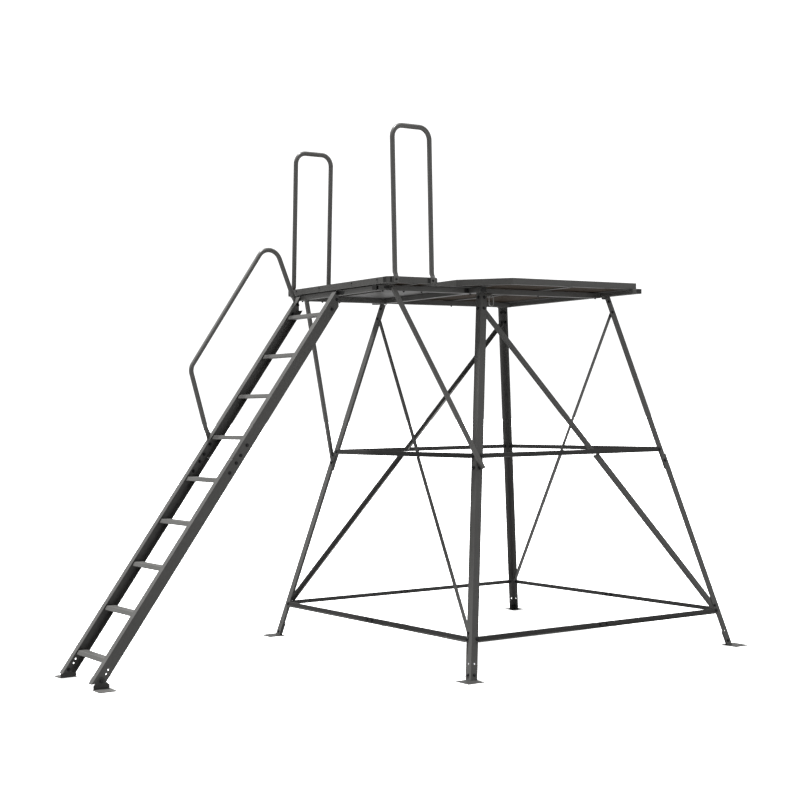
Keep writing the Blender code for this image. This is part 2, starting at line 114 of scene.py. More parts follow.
# Bolts through the rail webs: place, then grip and size.
SPLICE_BOLTS = ((-2.0095, 1.4165), (-2.0555, 1.3535), (-2.0885, 1.3075), (-2.1355, 1.2475)), 0.0072, 0.95
TOP_BOLTS = ((-1.3250, 2.336), (-1.3640, 2.273)), 0.0082, 0.95
BAR_BOLTS = (-1.265, -1.105, -0.965, -0.575, 0.0, 0.512)
RIM_BOLTS = (-0.47, -0.19, 0.19, 0.47)

# Stage: greys, light strengths and the camera that meets the photo's view.
FLOOR_HALF = 160.0
FLOOR_GREY = 0.25           # what the steel gets back from the floor; the camera sees it pale
FLOOR_GLOW, FLOOR_SHEEN = 1.0, 0.75
SKY_GREY, SKY_SEEN = 0.40, 1.2
SUN_POWER, SUN_ANGLE, SUN_AHEAD = 6.0, 8, (0.15, -0.21, -1.0)
STRIP_POWER, STRIP_SIZE, STRIP_AT, STRIP_AIM = 20.0, (0.35, 5.0), (5.5, -6.0, 3.0), (-0.4, -0.3, 2.4)
CAMERA_AT = (-6.5745, -7.951, 1.627)
CAMERA_TURN = (31.73, -2.81, -0.86)         # yaw, pitch and roll in degrees
CAMERA_LENS, CAMERA_SENSOR, CAMERA_SHIFT = 66.06, 36.0, (0.1348, 0.1034)


def half(z):
    """Half spread of the leg corners at height z."""
    return LEG_SPREAD - LEG_LEAN * z


def quarter(k):
    return Matrix.Rotation(math.radians(90 * k), 4, "Z")


def here(x, y, z):
    """Point measured from the tower axis, in the shared frame."""
    return Vector((AXIS_X + x, y, z))


def on_face(k, along, z, out=0.0):
    """Point and outward normal on one sloping tower face."""
    n = Vector((0.0, -1.0, LEG_LEAN)).normalized()
    p = Vector((along, -half(z), z)) + n * out
    turn = quarter(k)
    return turn @ p + Vector((AXIS_X, 0, 0)), turn.to_3x3() @ n


class StandSizes(bpy.types.PropertyGroup):
    edge: bpy.props.FloatProperty(
        name="Edge round", description="Rounding of sheared and rolled steel edges",
        default=0.0009, min=0.0002, max=0.002, precision=4, subtype="DISTANCE", unit="LENGTH")
    hole_radius: bpy.props.FloatProperty(
        name="Hole radius", description="Open bolt holes in legs and ladder rails",
        default=0.0052, min=0.002, max=0.01, precision=4, subtype="DISTANCE", unit="LENGTH")
    bolt_across: bpy.props.FloatProperty(
        name="Bolt head", description="Width across the flats of the hexagon heads",
        default=0.0168, min=0.008, max=0.024, precision=4, subtype="DISTANCE", unit="LENGTH")
    bolt_height: bpy.props.FloatProperty(
        name="Head height", description="Height of the hexagon heads",
        default=0.0062, min=0.003, max=0.012, precision=4, subtype="DISTANCE", unit="LENGTH")
    washer_radius: bpy.props.FloatProperty(
        name="Washer radius", description="Outer radius of the flat washers",
        default=0.0118, min=0.006, max=0.02, precision=4, subtype="DISTANCE", unit="LENGTH")
    plate: bpy.props.FloatProperty(
        name="Small plate", description="Thickness of lap plates, corner plates, leg-top tabs and the gap cover",
        default=0.0022, min=0.001, max=0.005, precision=4, subtype="DISTANCE", unit="LENGTH")
    plank: bpy.props.FloatProperty(
        name="Plank", description="Width of the planks in the floors",
        default=0.118, min=0.06, max=0.3, precision=3, subtype="DISTANCE", unit="LENGTH")
    tube_sides: bpy.props.IntProperty(
        name="Tube sides", description="Facets round the bent handrails", default=24, min=12, max=48)


class StandColours(bpy.types.PropertyGroup):
    coat: bpy.props.FloatVectorProperty(
        name="Coat", description="Dark grey powder coat",
        default=(0.100, 0.099, 0.095), min=0, max=1, subtype="COLOR")
    worn: bpy.props.FloatVectorProperty(
        name="Worn edge", description="Coat rubbed thin along the edges",
        default=(0.145, 0.143, 0.138), min=0, max=1, subtype="COLOR")
    # The girt colour is painted shade: a darker copy of the coat standing in for the deck's shadow on the girts.
    girt: bpy.props.FloatVectorProperty(
        name="Girt coat", description="Darker coat of the level girts",
        default=(0.026, 0.0256, 0.0245), min=0, max=1, subtype="COLOR")
    bolt: bpy.props.FloatVectorProperty(
        name="Bolt", description="Black oxide fasteners",
        default=(0.013, 0.013, 0.014), min=0, max=1, subtype="COLOR")
    bare: bpy.props.FloatVectorProperty(
        name="Bare neck", description="Polished steel where the tube ends are pressed flat",
        default=(0.26, 0.26, 0.255), min=0, max=1, subtype="COLOR")
    zinc: bpy.props.FloatVectorProperty(
        name="Ring wire", description="Dull plated wire of the tie ring",
        default=(0.42, 0.42, 0.41), min=0, max=1, subtype="COLOR")
    board: bpy.props.FloatVectorProperty(
        name="Board", description="Dark stained floor planks",
        default=(0.066, 0.047, 0.031), min=0, max=1, subtype="COLOR")
    floor: bpy.props.FloatVectorProperty(
        name="Studio floor", description="Plain pale floor",
        default=(0.86, 0.86, 0.86), min=0, max=1, subtype="COLOR")


def sizes():
    return bpy.context.scene.stand_sizes


def colours():
    return bpy.context.scene.stand_colours


# ---------------------------------------------------------------- finishes

class Finish:
    """Node builder for one procedural finish on Object coordinates."""

    def __init__(self, name):
        self.mat = bpy.data.materials.new(name)
        self.mat.use_nodes = True
        self.tree = self.mat.node_tree
        self.shader = self.tree.nodes["Principled BSDF"]
        self.coord = self.add("ShaderNodeTexCoord").outputs["Object"]

    def add(self, kind, **values):
        node = self.tree.nodes.new(kind)
        for key, value in values.items():
            setattr(node, key, value)
        return node

    def join(self, a, b):
        self.tree.links.new(a, b)

    def stretch(self, scale):
        m = self.add("ShaderNodeMapping")
        m.inputs["Scale"].default_value = scale
        self.join(self.coord, m.inputs["Vector"])
        return m.outputs["Vector"]

    def noise(self, scale, detail=3.0, rough=0.5, vector=None):
        n = self.add("ShaderNodeTexNoise")
        n.inputs["Scale"].default_value = scale
        n.inputs["Detail"].default_value = detail
        n.inputs["Roughness"].default_value = rough
        self.join(vector or self.coord, n.inputs["Vector"])
        return n.outputs["Fac"]

    def ramp(self, value, lo, hi, a, b):
        m = self.add("ShaderNodeMapRange", interpolation_type="SMOOTHSTEP")
        for key, v in (("From Min", lo), ("From Max", hi), ("To Min", a), ("To Max", b)):
            m.inputs[key].default_value = v
        self.join(value, m.inputs["Value"])
        return m.outputs["Result"]

    def math(self, op, a, b=None):
        m = self.add("ShaderNodeMath", operation=op)
        for i, v in enumerate((a, b)):
            if v is None:
                continue
            if isinstance(v, (int, float)):
                m.inputs[i].default_value = v
            else:
                self.join(v, m.inputs[i])
        return m.outputs[0]

    def blend(self, fac, a, b):
        m = self.add("ShaderNodeMix", data_type="RGBA")
        self.join(fac, m.inputs["Factor"])
        for key, v in ((6, a), (7, b)):     # the colour sockets A and B
            if isinstance(v, tuple):
                m.inputs[key].default_value = (*v, 1.0)
            else:
                self.join(v, m.inputs[key])
        return m.outputs[2]

    def colour(self, out):
        self.join(out, self.shader.inputs["Base Color"])

    def roughness(self, out):
        self.join(out, self.shader.inputs["Roughness"])

    def shine(self, specular):
        self.shader.inputs["Specular IOR Level"].default_value = specular

    def metal(self, share):
        self.shader.inputs["Metallic"].default_value = share

    def bump(self, height, distance, strength):
        b = self.add("ShaderNodeBump")
        b.inputs["Strength"].default_value = strength
        b.inputs["Distance"].default_value = distance
        self.join(height, b.inputs["Height"])
        self.join(b.outputs["Normal"], self.shader.inputs["Normal"])


def tint(c, k):
    return tuple(min(1.0, v * k) for v in c)


def coat_finish(name, base, worn, sleek=0.34, dull=0.46):
    """Powder coat: slow mottling, fine orange peel, rubbed streaks and a few pale scuffs."""
    f = Finish(name)
    cloud = f.noise(5.0, 4.0, 0.55)
    grain = f.noise(420.0, 2.0, 0.6)
    body = f.blend(f.ramp(cloud, 0.3, 0.7, 0.0, 1.0), tint(base, 0.88), tint(base, 1.10))
    body = f.blend(f.ramp(grain, 0.35, 0.7, 0.0, 1.0), body, tint(base, 1.16))
    streak = f.noise(60.0, 5.0, 0.65, f.stretch((1.0, 0.35, 0.25)))
    scuff = f.ramp(streak, 0.645, 0.72, 0.0, 0.55)
    f.colour(f.blend(scuff, body, worn))
    f.roughness(f.math("ADD", f.ramp(cloud, 0.3, 0.7, sleek, dull), f.math("MULTIPLY", scuff, -0.12)))
    f.shine(0.42)
    peel = f.noise(700.0, 2.0, 0.5)
    f.bump(f.math("ADD", peel, f.math("MULTIPLY", cloud, 0.5)), 0.00015, 0.3)
    return f.mat


def edge_finish(name, worn, base):
    """Edge of a coated section, the coat thin and rubbed bright in places."""
    f = Finish(name)
    rub = f.noise(38.0, 5.0, 0.7)
    f.colour(f.blend(f.ramp(rub, 0.36, 0.66, 0.0, 1.0), tint(base, 1.05), worn))
    f.roughness(f.ramp(rub, 0.3, 0.7, 0.5, 0.34))
    f.shine(0.5)
    f.bump(f.noise(320.0, 3.0, 0.6), 0.00015, 0.5)
    return f.mat


def bolt_finish(name, base):
    """Black oxide: dull, faintly blotchy, a few brighter handling marks."""
    f = Finish(name)
    spot = f.noise(160.0, 4.0, 0.6)
    f.colour(f.blend(f.ramp(spot, 0.4, 0.72, 0.0, 1.0), base, tint(base, 2.6)))
    f.roughness(f.ramp(spot, 0.3, 0.7, 0.5, 0.33))
    f.metal(0.35)
    f.bump(f.noise(900.0, 2.0, 0.5), 0.00012, 0.4)
    return f.mat


def bare_finish(name, base, along):
    """Pressed bright steel, drawn lines along the tube and cloudy handling."""
    f = Finish(name)
    line = f.noise(900.0, 3.0, 0.6, f.stretch(along))
    cloud = f.noise(26.0, 4.0, 0.6)
    body = f.blend(f.ramp(line, 0.3, 0.7, 0.0, 1.0), tint(base, 0.8), tint(base, 1.1))
    f.colour(f.blend(f.ramp(cloud, 0.5, 0.75, 0.0, 0.6), body, tint(base, 0.55)))
    f.roughness(f.ramp(cloud, 0.3, 0.7, 0.26, 0.42))
    f.metal(0.85)
    f.bump(line, 0.0001, 0.4)
    return f.mat


def board_finish(name, base, width):
    """Stained planks running along X: dark seams, plank-to-plank change, grain and pores."""
    f = Finish(name)
    split = f.add("ShaderNodeSeparateXYZ")
    f.join(f.coord, split.inputs[0])
    row = f.math("DIVIDE", split.outputs["Y"], width)
    cell = f.math("FLOOR", row)
    part = f.math("FRACT", row)
    edge = f.math("MINIMUM", part, f.math("SUBTRACT", 1.0, part))
    seam = f.ramp(edge, 0.006, 0.022, 1.0, 0.0)
    own = f.add("ShaderNodeTexWhiteNoise", noise_dimensions="1D")
    f.join(cell, own.inputs["W"])
    shade = own.outputs["Value"]
    grain = f.noise(7.0, 6.0, 0.65, f.stretch((1.6, 26.0, 26.0)))
    pore = f.noise(60.0, 4.0, 0.6, f.stretch((0.6, 14.0, 14.0)))
    body = f.blend(f.ramp(grain, 0.3, 0.7, 0.0, 1.0), tint(base, 0.62), tint(base, 1.35))
    body = f.blend(f.math("MULTIPLY", shade, 0.45), body, tint(base, 0.6))
    body = f.blend(f.ramp(pore, 0.58, 0.72, 0.0, 0.7), body, tint(base, 0.35))
    f.colour(f.blend(seam, body, tint(base, 0.12)))
    f.roughness(f.ramp(grain, 0.3, 0.7, 0.62, 0.8))
    f.shine(0.12)
    fibre = f.math("ADD", grain, f.math("MULTIPLY", pore, 0.4))
    f.bump(f.math("SUBTRACT", fibre, f.math("MULTIPLY", seam, 4.0)), 0.0012, 0.6)
    return f.mat


def finish(name):
    """The named finish, made once."""
    found = bpy.data.materials.get(name)
    if found:
        return found
    c = colours()
    coat, worn = tuple(c.coat), tuple(c.worn)
    if name == "powder_coat":
        return coat_finish(name, coat, worn)
    # Darker copy of the coat: painted shade.
    if name == "powder_coat_painted_shade":
        return coat_finish(name, tint(coat, 0.45), tint(worn, 0.6))
    # Darker copy of the coat for the girts: painted shade.
    if name == "girt_painted_shade_coat":
        return coat_finish(name, tuple(c.girt), coat)
    # Brighter, glossier copy of the coat: painted light on the round tubes and the rim lips.
    if name == "tube_coat_painted_light":
        return coat_finish(name, tint(coat, 1.38), worn, 0.30, 0.40)
    if name == "coat_edge":
        return edge_finish(name, worn, coat)
    if name == "black_bolt":
        return bolt_finish(name, tuple(c.bolt))
    # Near-black copy of the coat: painted shade on the tube ends, the rim strips and the plates over the long tubes'
    # front ends, and the black of the clips.
    if name == "black_clips_and_painted_shade":
        return coat_finish(name, tint(coat, 0.10), tint(coat, 0.3))
    if name == "bare_neck":
        return bare_finish(name, tuple(c.bare), (1.0, 1.0, 0.08))
    if name == "zinc_wire":
        return bare_finish(name, tuple(c.zinc), (1.0, 1.0, 0.2))
    if name == "stained_board":
        return board_finish(name, tuple(c.board), sizes().plank)
    raise RuntimeError("no finish is named " + name)


# ---------------------------------------------------------------- mesh help

def placed(name, data):
    ob = bpy.data.objects.new(name, data)
    bpy.context.scene.collection.objects.link(ob)
    return ob


def add_object(name, mesh, *finishes):
    for m in finishes:
        mesh.materials.append(finish(m))
    return placed(name, mesh)


def mesh_of(bm, name, outward=True):
    """The built mesh, its faces turned outward where asked."""
    if outward:
        bmesh.ops.recalc_face_normals(bm, faces=bm.faces)
    mesh = bpy.data.meshes.new(name)
    bm.to_mesh(mesh)
    bm.free()
    return mesh


def merged(node):
    """A node's loose triangles as one welded mesh with flat faces joined up."""
    bm = bmesh.new()
    bm.from_mesh(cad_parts[node].data)
    bmesh.ops.remove_doubles(bm, verts=bm.verts, dist=2e-5)
    bmesh.ops.dissolve_limit(bm, angle_limit=math.radians(0.6), verts=bm.verts, edges=bm.edges)
    for face in bm.faces:
        face.material_index = 0
        face.smooth = False
    mesh = mesh_of(bm, node + "_steel", outward=False)
    mesh.materials.clear()
    return mesh


def baked(ob):
    """Replace an object's mesh by its modified one."""
    graph = bpy.context.evaluated_depsgraph_get()
    mesh = bpy.data.meshes.new_from_object(ob.evaluated_get(graph))
    ob.modifiers.clear()
    old = ob.data
    ob.data = mesh
    bpy.data.meshes.remove(old)
    return ob


def drill(ob, holes):
    """Round holes through a piece; each hole is a point, an axis and a radius."""
    bm = bmesh.new()
    for point, axis, radius in holes:
        turn = axis.to_track_quat("Z", "Y").to_matrix().to_4x4()
        bmesh.ops.create_cone(bm, cap_ends=True, segments=20, radius1=radius, radius2=radius, depth=0.03,
                              matrix=Matrix.Translation(point) @ turn)
    mesh = mesh_of(bm, ob.name + "_drill", outward=False)
    bit = placed(ob.name + "_drill", mesh)
    mod = ob.modifiers.new("holes", "BOOLEAN")
    mod.operation = "DIFFERENCE"
    mod.solver = "EXACT"
    mod.object = bit
    baked(ob)
    bpy.data.objects.remove(bit)
    bpy.data.meshes.remove(mesh)


def round_edges(ob, width, second=1, angle=28.0):
    """Small rolled edge, its faces in the worn edge finish."""
    mod = ob.modifiers.new("rolled_edge", "BEVEL")
    mod.width = width
    mod.segments = 2
    mod.limit_method = "ANGLE"
    mod.angle_limit = math.radians(angle)
    mod.material = second
    mod.use_clamp_overlap = True
    return baked(ob)


def stand_for(ob, node, body):
    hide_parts(node)
    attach(ob, body)
    return ob


def keep(ob, body="tower"):
    """A small piece that has no node of its own."""
    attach(ob, body)
    return ob


def steel(node, edge=None, holes=(), coat="powder_coat", reshape=None):
    """A packed steel node with rolled, worn edges and any open holes."""
    mesh = merged(node)
    if reshape:
        reshape(mesh)
    ob = add_object(node + "_steel", mesh, coat, "coat_edge")
    if holes:
        drill(ob, holes)
    round_edges(ob, edge or sizes().edge)
    return stand_for(ob, node, "tower")


def plate_mesh(bm, outline, normal, thickness):
    """Flat plate: a closed outline pushed along a normal."""
    low = [bm.verts.new(p) for p in outline]
    top = [bm.verts.new(p + normal * thickness) for p in outline]
    n = len(outline)
    bm.faces.new(low[::-1])
    bm.faces.new(top)
    for i in range(n):
        bm.faces.new((low[i], low[(i + 1) % n], top[(i + 1) % n], top[i]))


def plates(name, items, coat="powder_coat", edge=0.0006, angle=28.0):
    """Several small plates as one piece on the tower; each is an outline, a normal and a thickness."""
    bm = bmesh.new()
    for item in items:
        plate_mesh(bm, *item)
    ob = add_object(name, mesh_of(bm, name), coat, "coat_edge")
    round_edges(ob, edge, angle=angle)
    return keep(ob)


def oblong(centre, u, v, w, h, cut=0.004):
    """Outline of a plate with clipped corners."""
    a, b, c = w / 2, h / 2, cut
    pts = ((-a + c, -b), (a - c, -b), (a, -b + c), (a, b - c), (a - c, b), (-a + c, b), (-a, b - c), (-a, -b + c))
    return [centre + u * x + v * y for x, y in pts]


def face_plate(k, along, z, out, wide, high):
    """Small plate lying on a tower face."""
    p, n = on_face(k, along, z, out)
    u = quarter(k).to_3x3() @ X
    return oblong(p, u, n.cross(u), wide, high), n, sizes().plate


def rounded(points, radii, steps):
    """Polyline whose inner corners are arcs."""
    out = [points[0]]
    for i in range(1, len(points) - 1):
        p, r = points[i], radii[i - 1]
        a = (points[i - 1] - p).normalized()
        b = (points[i + 1] - p).normalized()
        bend = a.angle(b)
        reach = r / math.tan(bend / 2)
        mid = p + (a + b).normalized() * (r / math.sin(bend / 2))
        p0, p1 = p + a * reach, p + b * reach
        v0, v1 = p0 - mid, p1 - mid
        turn = v0.angle(v1)
        axis = v0.cross(v1).normalized()
        for s in range(steps + 1):
            out.append(mid + Matrix.Rotation(turn * s / steps, 3, axis) @ v0)
    out.append(points[-1])
    return out


def refine(points, step):
    """Extra points so no straight run is longer than a step."""
    out = [points[0]]
    for a, b in zip(points, points[1:]):
        n = max(1, int(math.ceil((b - a).length / step)))
        out += [a + (b - a) * (i / n) for i in range(1, n + 1)]
    return out


def smooth(t):
    t = min(1.0, max(0.0, t))
    return t * t * (3 - 2 * t)


def squarish(c):
    """A cosine or sine drawn towards its ends, for the section of a pressed tab."""
    return math.copysign(abs(c) ** 0.45, c)


def pressed_tube(node, path, side, flat, neck, shift):
    """Bent tube whose two ends are pressed flat into tabs.

    side is the direction across the flat, shift how far the tab sits towards it, flat the length of the tab and neck
    the length over which the round tube goes flat.
    """
    n = sizes().tube_sides
    pts = refine(path, 0.012)
    run = [0.0]
    for a, b in zip(pts, pts[1:]):
        run.append(run[-1] + (b - a).length)
    bm = bmesh.new()
    rings = []
    press = []
    for i, p in enumerate(pts):
        d = (pts[min(i + 1, len(pts) - 1)] - pts[max(i - 1, 0)]).normalized()
        across = (side - d * side.dot(d)).normalized()
        other = d.cross(across)
        end = min(run[i], run[-1] - run[i])
        k = 1.0 - smooth((end - flat) / neck)
        press.append(k)
        centre = p + side * (shift * k)
        ring = []
        for j in range(n):
            t = 2 * math.pi * j / n
            c, s = math.cos(t), math.sin(t)
            fc = squarish(c) * TAB_THICK / 2
            fs = squarish(s) * TAB_WIDE / 2
            ring.append(bm.verts.new(centre + across * (TUBE_R * c * (1 - k) + fc * k)
                                     + other * (TUBE_R * s * (1 - k) + fs * k)))
        rings.append(ring)
    for i in range(len(rings) - 1):
        a, b = rings[i], rings[i + 1]
        shiny = BARE_PRESS[0] < (press[i] + press[i + 1]) / 2 < BARE_PRESS[1]
        for j in range(n):
            face = bm.faces.new((a[j], a[(j + 1) % n], b[(j + 1) % n], b[j]))
            face.smooth = True
            face.material_index = 1 if shiny else 0
    bm.faces.new(rings[0][::-1])
    bm.faces.new(rings[-1])
    name = node + "_tube"
    # The bent tubes take the brighter copy of the coat: painted light.
    ob = add_object(name, mesh_of(bm, name), "tube_coat_painted_light", "bare_neck")
    return stand_for(ob, node, "tower")


def wire_loop(node, path, radius, side, body):
    """Closed round wire."""
    n = 16
    bm = bmesh.new()
    rings = []
    m = len(path)
    for i, p in enumerate(path):
        d = (path[(i + 1) % m] - path[i - 1]).normalized()
        across = (side - d * side.dot(d)).normalized()
        other = d.cross(across)
        rings.append([bm.verts.new(p + across * (radius * math.cos(2 * math.pi * j / n))
                                   + other * (radius * math.sin(2 * math.pi * j / n))) for j in range(n)])
    for i in range(m):
        for j in range(n):
            a, b = rings[i], rings[(i + 1) % m]
            bm.faces.new((a[j], a[(j + 1) % n], b[(j + 1) % n], b[j])).smooth = True
    name = node + "_wire"
    ob = add_object(name, mesh_of(bm, name), "zinc_wire")
    return stand_for(ob, node, body)


# ---------------------------------------------------------------- fasteners

def bolt_tree():
    """Geometry Nodes: washer, chamfered hexagon head, and a nut with the thread's tip on the other side."""
    tree = bpy.data.node_groups.new("hex_bolts", "GeometryNodeTree")
    face = tree.interface
    face.new_socket("Points", in_out="INPUT", socket_type="NodeSocketGeometry")
    for name, kind in (("Across flats", "Float"), ("Head height", "Float"), ("Washer radius", "Float"),
                       ("Seed", "Int"), ("Finish", "Material")):
        face.new_socket(name, in_out="INPUT", socket_type="NodeSocket" + kind)
    face.new_socket("Bolts", in_out="OUTPUT", socket_type="NodeSocketGeometry")
    add = tree.nodes.new
    link = tree.links.new
    given = add("NodeGroupInput").outputs
    done = add("NodeGroupOutput").inputs

    def feed(value, socket):
        if isinstance(value, (int, float)):
            socket.default_value = value
        else:
            link(value, socket)

    def attribute(name, kind):
        n = add("GeometryNodeInputNamedAttribute")
        n.data_type = kind
        n.inputs["Name"].default_value = name
        return n.outputs["Attribute"]

    def maths(op, a, b):
        n = add("ShaderNodeMath")
        n.operation = op
        feed(a, n.inputs[0])
        feed(b, n.inputs[1])
        return n.outputs[0]

    def solid(kind, sides, at, **values):
        n = add("GeometryNodeMesh" + kind)
        n.fill_type = "NGON"
        n.inputs["Vertices"].default_value = sides
        for key, v in values.items():
            feed(v, n.inputs[key.replace("_", " ")])
        xyz = add("ShaderNodeCombineXYZ")
        feed(at, xyz.inputs["Z"])
        moved = add("GeometryNodeTransform")
        link(n.outputs["Mesh"], moved.inputs["Geometry"])
        link(xyz.outputs[0], moved.inputs["Translation"])
        return moved.outputs["Geometry"]

    def together(*meshes):
        n = add("GeometryNodeJoinGeometry")
        for m in meshes:
            link(m, n.inputs["Geometry"])
        return n.outputs["Geometry"]

    def spread(points, shape, rotation, scale):
        n = add("GeometryNodeInstanceOnPoints")
        for key, v in (("Points", points), ("Instance", shape), ("Rotation", rotation), ("Scale", scale)):
            link(v, n.inputs[key])
        return n.outputs["Instances"]

    lift = 0.0018           # washer under the head
    radius, height = given["Washer radius"], given["Head height"]
    corner = maths("MULTIPLY", given["Across flats"], 1 / math.sqrt(3))
    crown = maths("MULTIPLY", corner, 0.84)
    washer = solid("Cylinder", 24, lift / 2, Radius=radius, Depth=lift)
    shank_at = maths("ADD", maths("MULTIPLY", height, 0.5), lift)
    shank = solid("Cylinder", 6, shank_at, Radius=corner, Depth=height)
    dome = solid("Cone", 6, maths("ADD", height, lift), Radius_Bottom=corner, Radius_Top=crown, Depth=0.0012)
    head = together(washer, shank, dome)
    back_washer = solid("Cylinder", 24, -0.0008, Radius=radius, Depth=0.0016)
    nut = solid("Cylinder", 6, -0.0048, Radius=corner, Depth=0.0065)
    tip = solid("Cylinder", 12, -0.0105, Radius=maths("MULTIPLY", corner, 0.56), Depth=0.006)
    tail = together(back_washer, nut, tip)

    points = add("GeometryNodeMeshToPoints")
    link(given["Points"], points.inputs["Mesh"])
    axis = attribute("axis", "FLOAT_VECTOR")
    turn = add("FunctionNodeAlignRotationToVector")
    turn.axis = "Z"
    link(axis, turn.inputs["Vector"])
    chance = add("FunctionNodeRandomValue")
    chance.data_type = "FLOAT"
    floats = [s for s in chance.inputs if s.type == "VALUE" and s.name in ("Min", "Max")]
    floats[0].default_value = 0.0
    floats[1].default_value = math.pi / 3
    link(given["Seed"], [s for s in chance.inputs if s.name == "Seed"][0])
    spin = add("FunctionNodeAxisAngleToRotation")
    spin.inputs["Axis"].default_value = (0, 0, 1)
    link([s for s in chance.outputs if s.type == "VALUE"][0], spin.inputs["Angle"])
    turned = add("FunctionNodeRotateRotation")
    turned.rotation_space = "LOCAL"
    link(turn.outputs["Rotation"], turned.inputs["Rotation"])
    link(spin.outputs["Rotation"], turned.inputs["Rotate By"])
    rotation = turned.outputs["Rotation"]
    size = attribute("size", "FLOAT")
    heads = spread(points.outputs["Points"], head, rotation, size)

    back = add("ShaderNodeVectorMath")
    back.operation = "SCALE"
    link(axis, back.inputs[0])
    link(maths("MULTIPLY", attribute("grip", "FLOAT"), -1.0), back.inputs["Scale"])
    behind = add("GeometryNodeSetPosition")
    link(points.outputs["Points"], behind.inputs["Geometry"])
    link(back.outputs[0], behind.inputs["Offset"])
    tails = spread(behind.outputs["Geometry"], tail, rotation, size)

    real = add("GeometryNodeRealizeInstances")
    link(together(heads, tails), real.inputs["Geometry"])
    coat = add("GeometryNodeSetMaterial")
    link(real.outputs["Geometry"], coat.inputs["Geometry"])
    link(given["Finish"], coat.inputs["Material"])
    link(coat.outputs["Geometry"], done["Bolts"])
    return tree


def bolts(name, items, seed, body="tower"):
    """One piece of hexagon bolts; each item is a point, an outward axis, a grip length and a size factor."""
    mesh = bpy.data.meshes.new(name)
    mesh.from_pydata([tuple(i[0]) for i in items], [], [])
    for key, kind in (("axis", "FLOAT_VECTOR"), ("grip", "FLOAT"), ("size", "FLOAT")):
        mesh.attributes.new(key, kind, "POINT")
    mesh.attributes["axis"].data.foreach_set("vector", [c for i in items for c in i[1].normalized()])
    mesh.attributes["grip"].data.foreach_set("value", [i[2] for i in items])
    mesh.attributes["size"].data.foreach_set("value", [i[3] for i in items])
    ob = placed(name, mesh)
    tree = bpy.data.node_groups.get("hex_bolts") or bolt_tree()
    mod = ob.modifiers.new("hex_bolts", "NODES")
    mod.node_group = tree
    s = sizes()
    values = {"Across flats": s.bolt_across, "Head height": s.bolt_height, "Washer radius": s.washer_radius,
              "Seed": seed, "Finish": finish("black_bolt")}
    for item in tree.interface.items_tree:
        if item.in_out == "INPUT" and item.name in values:
            mod[item.identifier] = values[item.name]
    baked(ob)
    return keep(ob, body)


# ---------------------------------------------------------------- operators

class STAND_OT_legs(bpy.types.Operator):
    """Four nested angle legs with open holes above their foot plates"""
    bl_idname = "stand.legs"
    bl_label = "Legs and foot plates"

    def execute(self, context):
        r = sizes().hole_radius
        z, inset = SPARE_HOLES
        for k, n in enumerate(LEGS):
            spare = []
            for face, sign in ((k, -1), ((k + 3) % 4, 1)):
                p, axis = on_face(face, sign * (half(z) - inset), z)
                spare.append((p, axis, r))
            steel("leg_lower_" + n, holes=spare)
            steel("leg_upper_" + n)
            # The foot plates take the darker copy of the coat: painted shade.
            steel("leg_foot_" + n, coat="powder_coat_painted_shade")
        return {"FINISHED"}


class STAND_OT_bracing(bpy.types.Operator):
    """Girts, diagonals, knee braces, the bolted laps of the low girts and the near face's leg-top tabs"""
    bl_idname = "stand.bracing"
    bl_label = "Girts and braces"

    def execute(self, context):
        laps = []
        for k in range(4):
            f = LEGS[k] + LEGS[(k + 1) % 4]
            for part in ("girt_low_", "girt_mid_"):
                # The girts take the darker copy of the coat: painted shade.
                steel(part + f, edge=LIGHT_EDGE, coat="girt_painted_shade_coat")
            steel("brace_lower_" + f, edge=LIGHT_EDGE)
            n = on_face(k, 0.0, GIRT_LOW)[1]
            steel("brace_upper_" + f, edge=LIGHT_EDGE, reshape=lambda mesh: self.deepen(mesh, n, 1.4))
            laps.append(face_plate(k, 0.0, GIRT_LOW, GIRT_GAP, 0.112, 0.029))
        for n in ("near", "far"):
            # The knee braces take the brighter copy of the coat: painted light.
            steel("knee_brace_" + n, edge=KNEE_EDGE, coat="tube_coat_painted_light")
        # The laps share the girts' painted-shade coat.
        plates("girt_laps", laps, "girt_painted_shade_coat")
        z, inset = LEG_TABS
        tabs = [face_plate(0, side * (half(z) - inset), z, 0.0004 - LEG_INSET, 0.052, 0.016) for side in (-1, 1)]
        plates("leg_top_tabs", tabs, "bare_neck")
        return {"FINISHED"}

    @staticmethod
    def deepen(mesh, normal, factor):
        """Make an angle's inner leg longer, its outer side kept in the tower face."""
        face = max(normal.dot(v.co) for v in mesh.vertices)
        for v in mesh.vertices:
            v.co += normal * ((normal.dot(v.co) - face) * (factor - 1))


class STAND_OT_subframe(bpy.types.Operator):
    """Rectangular tubes under the deck and the landing, with black plates over the ends of the cross tubes as painted
    shade for their hollow ends
    """
    bl_idname = "stand.subframe"
    bl_label = "Sub-frame tubes"

    def execute(self, context):
        for n in ("beam_long_near", "beam_long_far", "beam_deck_near", "beam_deck_far", "beam_cross_right",
                  "beam_cross_left", "landing_beam"):
            steel(n, edge=TUBE_EDGE)
        # Black plates over both ends of each cross tube: painted shade for the dark inside of the hollow ends.
        end_shades = []
        for node in ("beam_cross_left", "beam_cross_right"):
            lo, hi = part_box(node)
            for sign in (-1, 1):
                at = (lo + hi) / 2 + Y * (sign * ((hi.y - lo.y) / 2 + END_SHADE_GAP))
                end_shades.append((oblong(at, X, Z, hi.x - lo.x, hi.z - lo.z, 0.002), Y * sign, END_SHADE_THICK))
        plates("tube_end_shades", end_shades, "black_clips_and_painted_shade", 0.0004)
        return {"FINISHED"}


